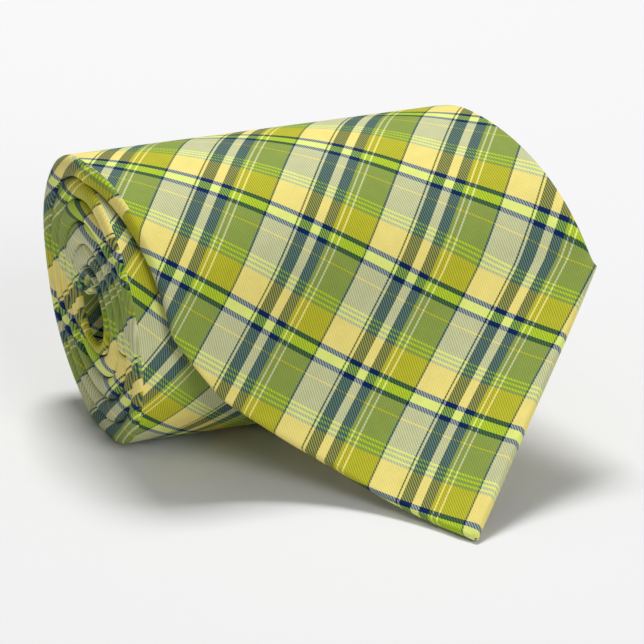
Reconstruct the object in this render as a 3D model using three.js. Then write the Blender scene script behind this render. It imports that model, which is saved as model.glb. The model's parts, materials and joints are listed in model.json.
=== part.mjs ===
// A classic necktie, folded in half, rolled up from the fold and stood on a table, with the
// last stretch of its wide blade unrolled so that the point rests on the table.
//
// Every layer is a flat slab, as it is cut: x runs across the tie, s along it from the
// blade's point, n out of its right side. One flare and one winding then carry all layers
// to their places, so they stay parallel. Millimetres, +Z up, roll axis along X.
import * as THREE from 'three';

const RADIAN = Math.PI / 180;

// Outline of the finished tie, laid flat
const TIE_LENGTH = 1450;
const BLADE_WIDTH = 101.6;
const BLADE_POINT = 60.4;
const NECK_WIDTH = 36;
const NECK_START = 640;
const NECK_END = 960;
const TAIL_WIDTH = 46;
const TAIL_POINT = 27;
const POINT_BLUNTING = 2;

// Layers
const CLOTH = 0.3;
const INTERLINING = 0.6;
const TIPPING = 0.3;
const LAYER_GAP = 0.3;
const THREAD = 0.3;
const END_GAP = 0.3;

// Back of the tie
const HEM = 9;
const BACK_SEAM_GAP = 1;
const BLADE_BACK_OPENING = 150;
const TAIL_BACK_OPENING = 70;
const TAIL_TIPPING_LENGTH = 38;
const TIPPING_FADE = 22;
const JOIN_GAP = 1;

// Keeper loop, label and bar tacks
const KEEPER_PLACE = 286;
const KEEPER_WIDTH = 10;
const KEEPER_SPAN = 52;
const TACK_WIDTH = 1.2;
const LABEL_PLACE = 312;
const LABEL_LENGTH = 24;
const LABEL_WIDTH = 30;
const BAR_TACK_LENGTH = 2;
const BAR_TACK_SPAN = 7;

// Roll
const CORE_RADIUS = 9;
const PLY_GAP = 1;
const TAIL_SHORTFALL = 200;
const TURN_STEP = 18 * RADIAN;
const TAIL_INSET = 14;
const BEND_STEP = 30 * RADIAN;

// Unrolled end of the blade
const FREE_LENGTH = 122;
const BLADE_SKEW = 10 * RADIAN;
const SPREAD_FADE = 130;
const CREST_SPREAD = 8.7;
const SHOULDER_TUCK = 5;
const TUCK_FADE = 30;
const SHOULDER_SPREAD = 3.6;
const SHOULDER_ROUNDING = 16;
const ROLL_LEAN = 5;
const TIPPING_SETBACK = 10;
const BLADE_TIPPING_LENGTH = FREE_LENGTH - TIPPING_SETBACK;
const POINT_SWING = 3;
const SWING_START = 15;
const SWING_END = 85;
const FLARE_SETBACK = 19;
const FLARE_START = FREE_LENGTH - FLARE_SETBACK;
const FLARE_LENGTH = 85;
const FLARE_ANGLE = 69 * RADIAN;
const FLARE_SKEW = 35 * RADIAN;
const FREE_STEP = 8;
const ROW_CROWDING = 0.05;
const HINGE_GAP = 0.6;

const PLAIN_THICKNESS = 2 * CLOTH + INTERLINING + 2 * LAYER_GAP;
const TIPPED_THICKNESS = PLAIN_THICKNESS + TIPPING + LAYER_GAP;
const PLY_SPACING = PLAIN_THICKNESS + PLY_GAP;
const TURN_PITCH = 2 * PLY_SPACING;

// The roll is as large as the doubled tie makes it, with the tail's end short of the crest.
const WOUND_LENGTH = TIE_LENGTH - FREE_LENGTH + TAIL_SHORTFALL;
const ROLL_RADIUS = Math.sqrt(CORE_RADIUS ** 2 + TURN_PITCH * WOUND_LENGTH / (2 * Math.PI));
const FOLD_PLACE = FREE_LENGTH + WOUND_LENGTH / 2;

// ---------------------------------------------------------------- flat pattern

const clamp = THREE.MathUtils.clamp;
const lerp = THREE.MathUtils.lerp;

function ramp(value, start, end) {
  return clamp((value - start) / (end - start), 0, 1);
}

function halfWidthBeyondPoint(s) {
  const shoulder = lerp(BLADE_WIDTH, NECK_WIDTH, ramp(s, BLADE_POINT, NECK_START)) / 2;
  const tailShoulder = TIE_LENGTH - TAIL_POINT;
  const tail = lerp(NECK_WIDTH, TAIL_WIDTH, ramp(s, NECK_END, tailShoulder)) / 2;
  const full = s < NECK_END ? shoulder : tail;
  return full * (1 - ramp(s, tailShoulder, TIE_LENGTH));
}

// Half the width along a line across the roll, on which the skewed blade is a little wider.
function halfAcross(s) {
  const skew = BLADE_SKEW * (1 - ramp(s, FREE_LENGTH, FREE_LENGTH + SPREAD_FADE));
  return halfWidthBeyondPoint(s) / Math.cos(skew);
}

// The bias-cut cloth is spread at the crest, so that its left edge is flush with the roll's.
const FLUSH_LEFT = -FREE_LENGTH * Math.tan(BLADE_SKEW) - halfAcross(FREE_LENGTH) - CREST_SPREAD;

// In the roll the left edges lie flush up to the fold; the tail is set in from them.
function rolledEdgesAt(s) {
  const left = FLUSH_LEFT + TAIL_INSET * ramp(s, FOLD_PLACE, NECK_END);
  const spread = CREST_SPREAD * (1 - ramp(s, FREE_LENGTH, FREE_LENGTH + SPREAD_FADE));
  return { left, right: left + 2 * halfAcross(s) + spread };
}

// The two shoulders of the point, turned by the skew.
const SHOULDER_RISE = BLADE_POINT * Math.cos(BLADE_SKEW);
const SHOULDER_TILT = (BLADE_WIDTH / 2) * Math.sin(BLADE_SKEW);
const RIGHT_SHOULDER = SHOULDER_RISE + SHOULDER_TILT;
const LEFT_SHOULDER = SHOULDER_RISE - SHOULDER_TILT;

// Both edges where a line across the roll, s from the point, leaves the tie.
function edgesAt(s) {
  if (s > FREE_LENGTH) {
    return rolledEdgesAt(s);
  }
  const halfPoint = Math.atan2(BLADE_WIDTH / 2, BLADE_POINT);
  const centre = -s * Math.tan(BLADE_SKEW);
  const half = halfAcross(s);
  const roundedTo = LEFT_SHOULDER + SHOULDER_ROUNDING;
  const tucked = SHOULDER_TUCK * (ramp(s, 0, TUCK_FADE) - ramp(s, LEFT_SHOULDER, roundedTo));
  const spread = lerp(SHOULDER_SPREAD, CREST_SPREAD, ramp(s, roundedTo, FREE_LENGTH));
  const out = spread * ramp(s, LEFT_SHOULDER, roundedTo) - tucked;
  const left = (s < LEFT_SHOULDER ? -s * Math.tan(halfPoint + BLADE_SKEW) : centre - half) - out;
  const right = s < RIGHT_SHOULDER ? s * Math.tan(halfPoint - BLADE_SKEW) : centre + half;
  return { left, right };
}

function centreAt(s) {
  const { left, right } = edgesAt(s);
  return (left + right) / 2;
}

// How thick the made-up tie is: thicker where a tipping is sewn in.
function thicknessAt(s) {
  const bladeTip = 1 - ramp(s, BLADE_TIPPING_LENGTH, BLADE_TIPPING_LENGTH + TIPPING_FADE);
  const tailTipStart = TIE_LENGTH - TAIL_TIPPING_LENGTH;
  const tailTip = ramp(s, tailTipStart - TIPPING_FADE, tailTipStart);
  return lerp(PLAIN_THICKNESS, TIPPED_THICKNESS, Math.max(bladeTip, tailTip));
}

// Width of each folded-back panel: only a hem at the points, half the tie elsewhere.
function panelWidthAt(s) {
  const { left, right } = edgesAt(s);
  const full = (right - left - BACK_SEAM_GAP) / 2;
  const tailPanel = 1 - ramp(s, TIE_LENGTH - TAIL_BACK_OPENING, TIE_LENGTH - TAIL_POINT);
  const closed = Math.min(ramp(s, LEFT_SHOULDER, BLADE_BACK_OPENING), tailPanel);
  return lerp(Math.min(HEM, full), full, closed);
}

// ---------------------------------------------------------------- winding

function spiralRadiusAt(turned) {
  return ROLL_RADIUS - TURN_PITCH * turned / (2 * Math.PI);
}

// The lowest facet of the first turn is flat on the table.
const REST_HEIGHT = spiralRadiusAt(Math.PI + TURN_STEP / 2) * Math.cos(TURN_STEP / 2);

function rollRadiusAt(turned) {
  const down = -Math.cos(turned);
  const spiral = spiralRadiusAt(turned);
  return down > 0 ? Math.min(spiral, REST_HEIGHT / down) : spiral;
}

const FULL_TURN = 2 * Math.PI * (ROLL_RADIUS - CORE_RADIUS) / TURN_PITCH;

// Stations of the tie's right side from the crest inward, round the fold and out again.
function windingStations() {
  const stations = [];
  const add = (y, z, ny, nz) => {
    const point = new THREE.Vector2(y, z);
    const last = stations[stations.length - 1];
    const s = last ? last.s + last.point.distanceTo(point) : FREE_LENGTH;
    stations.push({ s, point, normal: new THREE.Vector2(ny, nz) });
  };
  const turns = [0];
  for (let turned = TURN_STEP / 2; turned < FULL_TURN; turned += TURN_STEP) {
    turns.push(turned);
  }
  for (const turned of turns) {
    const radius = rollRadiusAt(turned);
    add(radius * Math.sin(turned), radius * Math.cos(turned), Math.sin(turned), Math.cos(turned));
  }
  const lastTurn = turns[turns.length - 1];
  const outward = new THREE.Vector2(Math.sin(lastTurn), Math.cos(lastTurn));
  const onward = new THREE.Vector2(Math.cos(lastTurn), -Math.sin(lastTurn));
  const foldRadius = (PLY_SPACING + PLAIN_THICKNESS) / 2;
  const foldCentre = outward.clone().multiplyScalar(rollRadiusAt(lastTurn) - foldRadius);
  for (let bend = BEND_STEP; bend < Math.PI - BEND_STEP / 2; bend += BEND_STEP) {
    const normal = outward.clone().multiplyScalar(Math.cos(bend));
    normal.addScaledVector(onward, Math.sin(bend));
    add(foldCentre.x + foldRadius * normal.x, foldCentre.y + foldRadius * normal.y,
      normal.x, normal.y);
  }
  for (const turned of turns.slice().reverse()) {
    const radius = rollRadiusAt(turned) - PLY_SPACING - PLAIN_THICKNESS;
    add(radius * Math.sin(turned), radius * Math.cos(turned), -Math.sin(turned), -Math.cos(turned));
  }
  return stations;
}

const STATIONS = windingStations();

// The sheet past the flare line bends away from the roll, towards its right side.
function flare(x, s, n) {
  const past = x * Math.sin(FLARE_SKEW) + (FLARE_START - s) * Math.cos(FLARE_SKEW);
  if (past <= 0) {
    return { x, s, n };
  }
  const bendRadius = FLARE_LENGTH / FLARE_ANGLE;
  const angle = Math.min(past, FLARE_LENGTH) / bendRadius;
  const straight = Math.max(past - FLARE_LENGTH, 0);
  const run = (bendRadius - n) * Math.sin(angle) + straight * Math.cos(angle);
  const rise = bendRadius - (bendRadius - n) * Math.cos(angle) + straight * Math.sin(angle);
  const shift = run - past;
  return { x: x + shift * Math.sin(FLARE_SKEW), s: s - shift * Math.cos(FLARE_SKEW), n: rise };
}

// The free end leaves the crest, follows the roll through the wrap angle and runs straight on.
// Its point is swung a little to the left.
function placeFree(x, s, n, wrap) {
  const share = ramp(s, SWING_START, SWING_END);
  const swing = POINT_SWING * (1 - share * share * (3 - 2 * share));
  const flared = flare(x - swing, s, n);
  const along = FREE_LENGTH - flared.s;
  const angle = Math.min(along / ROLL_RADIUS, wrap);
  const straight = Math.max(along - ROLL_RADIUS * wrap, 0);
  const radius = ROLL_RADIUS + flared.n;
  const y = -radius * Math.sin(angle) - straight * Math.cos(angle);
  const z = REST_HEIGHT + radius * Math.cos(angle) - straight * Math.sin(angle);
  return new THREE.Vector3(flared.x, y, z);
}

// Height of the lowest corner among the first rows behind the point.
function pointHeight(wrap) {
  const rows = [POINT_BLUNTING, FREE_STEP, 2 * FREE_STEP, 3 * FREE_STEP];
  const heights = rows.flatMap((s) => {
    const { left, right } = edgesAt(s);
    const corners = [[left, 0], [right, 0], [left, -TIPPED_THICKNESS], [right, -TIPPED_THICKNESS]];
    return corners.map(([x, n]) => placeFree(x, s, n, wrap).z);
  });
  return Math.min(...heights);
}

// The wrap angle that brings the point down to the table.
function findWrap() {
  let low = 20 * RADIAN;
  let high = 150 * RADIAN;
  for (let turn = 0; turn < 40; turn += 1) {
    const middle = (low + high) / 2;
    if (pointHeight(middle) > 0) {
      low = middle;
    } else {
      high = middle;
    }
  }
  return low;
}

const WRAP = findWrap();

function place(x, s, n) {
  if (s <= FREE_LENGTH) {
    return placeFree(x, s, n, WRAP);
  }
  let index = 1;
  while (index < STATIONS.length - 1 && STATIONS[index].s < s) {
    index += 1;
  }
  const before = STATIONS[index - 1];
  const after = STATIONS[index];
  const share = (s - before.s) / (after.s - before.s);
  const point = before.point.clone().lerp(after.point, share);
  const normal = before.normal.clone().lerp(after.normal, share);
  const z = REST_HEIGHT + point.y + n * normal.y;
  const lean = ROLL_LEAN * (1 - z / (REST_HEIGHT + ROLL_RADIUS));
  return new THREE.Vector3(x + lean, point.x + n * normal.x, z);
}

// ---------------------------------------------------------------- slabs

// Rows along the tie from one s to another. Every layer has its rows at the same places, so
// that the facets of neighbouring layers are parallel.
function rowsBetween(start, end) {
  const rows = [start, end, LEFT_SHOULDER, RIGHT_SHOULDER, TIE_LENGTH - TAIL_POINT];
  for (let s = FREE_LENGTH - FREE_STEP; s > 0; s -= FREE_STEP) {
    rows.push(s);
  }
  rows.push(...STATIONS.map((station) => station.s));
  const inside = rows.filter((s) => s >= start && s <= end).sort((a, b) => a - b);
  return inside.filter((s, index) => index === 0 || s === end || s - inside[index - 1] > ROW_CROWDING);
}

// A slab of cloth, column by column across and row by row along; its top is the right side.
function slab(columns, rows, section) {
  const steps = rows.length - 1;
  const geometry = new THREE.BoxGeometry(columns, 1, steps, columns, 1, steps);
  const positions = geometry.attributes.position;
  for (let vertex = 0; vertex < positions.count; vertex += 1) {
    const column = Math.round(positions.getX(vertex) + columns / 2);
    const row = Math.round(steps / 2 - positions.getZ(vertex));
    const s = rows[row];
    const { x, n } = section(column, s, positions.getY(vertex) > 0);
    const point = place(x, s, n);
    positions.setXYZ(vertex, point.x, point.y, point.z);
  }
  return geometry;
}

// Outer cloth: the front, turned round both edges into the two back panels.
function coverSlab(rows, frontColumns, panelColumns) {
  const columns = frontColumns + 2 * panelColumns + 2;
  return slab(columns, rows, (column, s, rightSide) => {
    const { left, right } = edgesAt(s);
    const inset = rightSide ? 0 : CLOTH;
    const back = -thicknessAt(s) + inset;
    const panel = panelWidthAt(s);
    if (column <= panelColumns) {
      const outer = left + Math.min(inset, panel / 2);
      return { x: lerp(left + panel, outer, column / panelColumns), n: back };
    }
    if (column >= columns - panelColumns) {
      const outer = right - Math.min(inset, panel / 2);
      return { x: lerp(right - panel, outer, (columns - column) / panelColumns), n: back };
    }
    const across = (column - panelColumns - 1) / frontColumns;
    const narrow = Math.min(inset, panel / 2);
    return { x: lerp(left + narrow, right - narrow, across), n: -inset };
  });
}

// A flat layer inside the cover, its top at the given depth.
function innerSlab(rows, columns, depth, thickness, margin) {
  return slab(columns, rows, (column, s, top) => {
    const { left, right } = edgesAt(s);
    const inset = Math.min(margin, (right - left) / 3);
    return { x: lerp(left + inset, right - inset, column / columns), n: -depth - (top ? 0 : thickness) };
  });
}

// A small piece on the back, centred on the back seam.
function backSlab(start, length, span, offset, thickness) {
  return slab(1, rowsBetween(start, start + length), (column, s, top) => {
    const n = -thicknessAt(s) - LAYER_GAP - (top ? 0 : thickness);
    return { x: centreAt(s) + offset + (column - 0.5) * span, n };
  });
}

// A thread across the tie in the gap between two covers, held inside their thickness.
function joinThread(s) {
  const start = s - THREAD / 2;
  return slab(1, [start, start + THREAD], (column, at, top) => {
    const { left, right } = edgesAt(at);
    return { x: lerp(left + CLOTH, right - CLOTH, column), n: top ? 0 : -CLOTH };
  });
}

// ---------------------------------------------------------------- pieces

const COVER_GREEN = { color: 0x9fae48, roughness: 0.6, metalness: 0 };
const CANVAS = { color: 0xe6e1d3, roughness: 0.95, metalness: 0 };
const LINING = { color: 0xe2cf84, roughness: 0.35, metalness: 0 };
const LABEL = { color: 0xf2efe6, roughness: 0.5, metalness: 0 };
const SEWING_THREAD = { color: 0x7d8a3c, roughness: 0.5, metalness: 0 };

const tie = new THREE.Group();

function addPiece(name, geometry, finish) {
  const mesh = new THREE.Mesh(geometry, new THREE.MeshStandardMaterial(finish));
  mesh.name = name;
  tie.add(mesh);
}

const HINGE_FRONT = FREE_LENGTH - HINGE_GAP / 2;
const HINGE_BACK = FREE_LENGTH + HINGE_GAP / 2;
const INTERLINING_DEPTH = CLOTH + LAYER_GAP;
const TIPPING_DEPTH = INTERLINING_DEPTH + INTERLINING + LAYER_GAP;
const INNER_MARGIN = CLOTH + 2 * LAYER_GAP;
const TIP_INSET = 6;
const NECK_MIDDLE = (NECK_START + NECK_END) / 2;
const TAIL_TIP = TIE_LENGTH - POINT_BLUNTING;

// Free end of the blade
addPiece('blade_end_cover', coverSlab(rowsBetween(POINT_BLUNTING, HINGE_FRONT), 8, 3), COVER_GREEN);
addPiece('blade_end_interlining',
  innerSlab(rowsBetween(TIP_INSET, HINGE_FRONT), 8, INTERLINING_DEPTH, INTERLINING, INNER_MARGIN), CANVAS);
addPiece('blade_tipping',
  innerSlab(rowsBetween(TIP_INSET, BLADE_TIPPING_LENGTH), 8, TIPPING_DEPTH, TIPPING, INNER_MARGIN), LINING);

// Rolled part of the blade
addPiece('blade_cover', coverSlab(rowsBetween(HINGE_BACK, NECK_START - JOIN_GAP / 2), 1, 1), COVER_GREEN);
addPiece('blade_interlining',
  innerSlab(rowsBetween(HINGE_BACK, NECK_MIDDLE - END_GAP), 1, INTERLINING_DEPTH, INTERLINING, INNER_MARGIN),
  CANVAS);

// Neck, with the fold at the middle of the roll
addPiece('neck_cover',
  coverSlab(rowsBetween(NECK_START + JOIN_GAP / 2, NECK_END - JOIN_GAP / 2), 1, 1), COVER_GREEN);
addPiece('blade_join_thread', joinThread(NECK_START), SEWING_THREAD);
addPiece('tail_join_thread', joinThread(NECK_END), SEWING_THREAD);

// Tail
addPiece('tail_cover', coverSlab(rowsBetween(NECK_END + JOIN_GAP / 2, TAIL_TIP), 1, 1), COVER_GREEN);
addPiece('tail_interlining',
  innerSlab(rowsBetween(NECK_MIDDLE, TIE_LENGTH - TIP_INSET), 1, INTERLINING_DEPTH, INTERLINING, INNER_MARGIN),
  CANVAS);
addPiece('tail_tipping',
  innerSlab(rowsBetween(TIE_LENGTH - TAIL_TIPPING_LENGTH, TIE_LENGTH - TIP_INSET), 1, TIPPING_DEPTH, TIPPING,
    INNER_MARGIN), LINING);

// Back seam and what is sewn on it
const SEAM_START = BLADE_BACK_OPENING + BAR_TACK_LENGTH + END_GAP;
const SEAM_END = TIE_LENGTH - TAIL_BACK_OPENING - BAR_TACK_LENGTH - END_GAP;
addPiece('slip_stitch_thread', slab(1, rowsBetween(SEAM_START, SEAM_END), (column, s, top) => {
  const n = -thicknessAt(s) + (CLOTH - THREAD) / 2 + (top ? THREAD : 0);
  return { x: centreAt(s) + (column - 0.5) * THREAD, n };
}), SEWING_THREAD);
addPiece('blade_bar_tack',
  backSlab(BLADE_BACK_OPENING, BAR_TACK_LENGTH, BAR_TACK_SPAN, 0, THREAD), SEWING_THREAD);
addPiece('tail_bar_tack',
  backSlab(TIE_LENGTH - TAIL_BACK_OPENING - BAR_TACK_LENGTH, BAR_TACK_LENGTH, BAR_TACK_SPAN, 0, THREAD),
  SEWING_THREAD);
addPiece('keeper_loop', backSlab(KEEPER_PLACE, KEEPER_WIDTH, KEEPER_SPAN, 0, CLOTH), COVER_GREEN);
const tackOffset = (KEEPER_SPAN + TACK_WIDTH) / 2 + END_GAP;
addPiece('keeper_tack_left',
  backSlab(KEEPER_PLACE, KEEPER_WIDTH, TACK_WIDTH, -tackOffset, THREAD), SEWING_THREAD);
addPiece('keeper_tack_right',
  backSlab(KEEPER_PLACE, KEEPER_WIDTH, TACK_WIDTH, tackOffset, THREAD), SEWING_THREAD);
addPiece('care_label', backSlab(LABEL_PLACE, LABEL_LENGTH, LABEL_WIDTH, 0, CLOTH), LABEL);

// The origin is under the middle of the whole object, on the table.
const bounds = new THREE.Box3().setFromObject(tie);
const middle = bounds.getCenter(new THREE.Vector3());
tie.position.set(-middle.x, -middle.y, -bounds.min.z);

export default tie;
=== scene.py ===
"""A plaid necktie, folded in half, rolled up from the fold and stood on a table.

Every sheet is first drawn flat: x runs across the tie, s along it from the blade's point and n
out of its right side. One flare and one winding then carry all the sheets to their places.
"""

import json
import math

import bmesh
import bpy
import numpy as np
from bpy.props import FloatProperty, FloatVectorProperty, PointerProperty
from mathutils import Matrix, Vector

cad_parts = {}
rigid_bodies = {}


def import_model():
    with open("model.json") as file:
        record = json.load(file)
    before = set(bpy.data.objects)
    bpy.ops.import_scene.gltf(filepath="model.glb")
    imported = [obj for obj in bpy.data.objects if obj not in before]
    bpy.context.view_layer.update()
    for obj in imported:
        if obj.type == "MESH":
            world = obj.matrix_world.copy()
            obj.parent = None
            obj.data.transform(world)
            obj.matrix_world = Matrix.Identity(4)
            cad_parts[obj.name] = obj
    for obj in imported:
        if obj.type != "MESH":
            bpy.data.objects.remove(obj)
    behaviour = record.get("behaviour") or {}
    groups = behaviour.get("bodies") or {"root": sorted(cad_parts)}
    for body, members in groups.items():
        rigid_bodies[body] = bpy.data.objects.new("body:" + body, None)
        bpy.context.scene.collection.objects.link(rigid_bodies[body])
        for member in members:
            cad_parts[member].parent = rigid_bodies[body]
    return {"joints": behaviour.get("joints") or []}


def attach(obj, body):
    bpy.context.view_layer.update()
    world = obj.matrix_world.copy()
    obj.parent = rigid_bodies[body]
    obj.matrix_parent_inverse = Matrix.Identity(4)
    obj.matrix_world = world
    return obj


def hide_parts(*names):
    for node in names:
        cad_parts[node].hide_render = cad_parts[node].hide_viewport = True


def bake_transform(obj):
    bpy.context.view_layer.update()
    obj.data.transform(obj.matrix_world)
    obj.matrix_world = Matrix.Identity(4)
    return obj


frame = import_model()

bl_info = {
    "name": "Rolled Necktie",
    "version": (1, 0, 0),
    "blender": (4, 5, 0),
    "location": "View3D > Sidebar > Necktie",
    "description": "Sews a plaid necktie and rolls it up, with the point of its blade on the table",
    "category": "Add Mesh",
}

HINGE = frame["joints"][0]
ROLL_BODY = HINGE["parent"]
CREST = Vector(HINGE["pos_m"])


# ---- settings


def length(name, description, default):
    """A length that a user can set, in metres."""
    return FloatProperty(name=name, description=description, default=default, unit="LENGTH", precision=5)


def angle(name, description, degrees):
    """An angle that a user can set."""
    return FloatProperty(
        name=name, description=description, default=math.radians(degrees), subtype="ANGLE")


def yarn(name, description, red, green, blue):
    """A yarn's colour as the eye reads it, from 0 to 1."""
    return FloatVectorProperty(
        name=name, description=description, default=(red, green, blue), subtype="COLOR_GAMMA",
        min=0.0, max=1.0)


class TieSizes(bpy.types.PropertyGroup):
    """Sizes of the finished tie, its layers, its roll and its unrolled end."""

    tie_length: length("Tie length", "From point to point, laid flat", 1.45)
    blade_width: length("Blade width", "Across the shoulders of the wide blade", 0.1016)
    blade_point: length("Blade point", "From the shoulders to the point", 0.0604)
    neck_width: length("Neck width", "Across the neck", 0.036)
    neck_start: length("Neck start", "Where the blade is seamed to the neck", 0.64)
    neck_end: length("Neck end", "Where the neck is seamed to the tail", 0.96)
    tail_width: length("Tail width", "Across the shoulders of the tail", 0.046)
    tail_point: length("Tail point", "From the tail's shoulders to its point", 0.027)
    cloth: length("Cloth", "Thickness of the outer cloth", 0.00034)
    canvas: length("Canvas", "Thickness of the interlining", 0.0006)
    lining: length("Lining", "Thickness of the tipping", 0.0003)
    thread: length("Thread", "Diameter of the sewing thread", 0.0003)
    made_up: length("Made-up thickness", "Front to back through the pressed tie", 0.0018)
    lined: length("Lined thickness", "Front to back where a tipping is sewn in", 0.0024)
    hem: length("Hem", "Cloth turned in along the points", 0.009)
    blade_opening: length("Blade opening", "Where the back seam of the blade begins", 0.15)
    tail_opening: length("Tail opening", "How far before the tail's end the back seam stops", 0.07)
    blade_lining: length("Blade lining", "Length of the blade's tipping", 0.112)
    tail_lining: length("Tail lining", "Length of the tail's tipping", 0.038)
    keeper_place: length("Keeper place", "From the point to the keeper loop", 0.286)
    keeper_width: length("Keeper width", "Width of the keeper loop", 0.01)
    keeper_span: length("Keeper span", "Length of the keeper loop", 0.052)
    label_place: length("Label place", "From the point to the label", 0.312)
    label_length: length("Label length", "Of the blank label, along the tie", 0.024)
    label_width: length("Label width", "Of the blank label, across the tie", 0.03)
    core_radius: length("Core radius", "Of the roll's middle, at the fold", 0.009)
    ply_gap: length("Ply gap", "Between the two plies of the folded tie", 0.001)
    tail_shortfall: length("Tail shortfall", "How far the tail's end lies behind the crest", 0.2)
    tail_inset: length("Tail inset", "How far the tail is set in from the roll's flush end", 0.014)
    free_length: length("Free length", "From the point to the crest of the roll", 0.122)
    blade_skew: angle("Blade skew", "How far the blade lies askew on the roll", 10)
    spread_fade: length("Spread fade", "Along which skew and spread die out in the roll", 0.13)
    crest_spread: length("Crest spread", "How far the left edge is spread at the crest", 0.0087)
    shoulder_tuck: length("Shoulder tuck", "How far the left shoulder is turned under", 0.005)
    tuck_fade: length("Tuck fade", "From the point to where the left edge is fully turned under", 0.03)
    shoulder_spread: length("Shoulder spread", "How far the left edge is spread past the shoulder", 0.0036)
    shoulder_rounding: length("Shoulder rounding", "Along which the left shoulder is rounded", 0.016)
    roll_lean: length("Roll lean", "How far the roll's flush end is set in at the table", 0.005)
    point_swing: length("Point swing", "How far the point is swung to the left on the table", 0.003)
    point_easing: length("Point easing", "How far the weave is drawn in towards the point", 0.0042)
    flare_start: length("Flare start", "From the point to the line where the flare begins", 0.103)
    flare_length: length("Flare length", "Along which the sheet bends away", 0.085)
    flare_angle: angle("Flare angle", "How far the flare turns the sheet", 69)
    flare_skew: angle("Flare skew", "Between the flare line and the roll's axis", 35)
    puff: length("Puff", "Thickness of the soft folded edges at the roll's flush end", 0.0054)
    puff_reach: length("Puff reach", "How far the soft edges reach in", 0.013)
    rim: length("Rim", "Depth of the rounding along the flush end", 0.0014)


class TieColours(bpy.types.PropertyGroup):
    """Yarns of the plaid, and the weave."""

    cream: yarn("Cream", "Light yarn that runs down to the left", 0.96, 0.93, 0.80)
    olive: yarn("Olive", "Green yarn that runs down to the left", 0.48, 0.58, 0.17)
    teal: yarn("Teal", "Dark yarn that runs down to the left", 0.0, 0.16, 0.37)
    yellow: yarn("Yellow", "Warm yarn that runs down to the right", 0.97, 0.86, 0.22)
    sage: yarn("Sage", "Grey-green yarn that runs down to the right", 0.62, 0.67, 0.42)
    lime: yarn("Lime", "Brightest yarn that runs down to the right", 0.87, 0.98, 0.22)
    navy: yarn("Navy", "Darkest yarn that runs down to the right", 0.0, 0.15, 0.32)
    canvas: yarn("Canvas", "Interlining", 0.88, 0.86, 0.80)
    lining: yarn("Lining", "Tipping", 0.87, 0.80, 0.52)
    label: yarn("Label", "Blank label", 0.95, 0.94, 0.90)
    thread: yarn("Thread", "Sewing thread", 0.50, 0.56, 0.25)
    repeat: length("Repeat", "Of the plaid, both ways", 0.02634)
    twill: length("Twill", "Distance between the ridges of the twill", 0.00057)


class StudioSettings(bpy.types.PropertyGroup):
    """Camera, light and table."""

    distance: length("Distance", "From the camera to the tie", 1.194)
    focal_length: FloatProperty(
        name="Focal length", description="Of the lens, on a 36 mm sensor", default=273.6,
        subtype="DISTANCE_CAMERA")
    azimuth: angle("Azimuth", "Of the camera, round the tie", -21.54)
    elevation: angle("Elevation", "Of the camera, above the table", 22)
    key_power: FloatProperty(
        name="Key power", description="Of the overhead light", default=30.0, unit="POWER")
    fill_power: FloatProperty(
        name="Fill power", description="Of the front light", default=15.5, unit="POWER")
    ambient: FloatProperty(name="Ambient", description="Strength of the light all round", default=0.28)


# ---- flat pattern


def ramp(value, start, end):
    """0 up to start, 1 from end on, and a straight line between."""
    return np.clip((value - start) / (end - start), 0.0, 1.0)


def ease(share):
    """The same from 0 to 1, with soft ends."""
    return share * share * (3 - 2 * share)


def mix(first, second, share):
    """From first at 0 to second at 1."""
    return first + (second - first) * share


# Of the width between the edges, so that the two back panels just don't meet.
PANEL_SHARE = 0.495
THICKNESS_FADE = 0.022
EASING_REACH = 0.045
# Repeats of each set of yarns counted at the blade's point.
STEEP_START = 4.27
SHALLOW_START = 3.24
LENGTH_STATIONS = 1451


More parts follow.
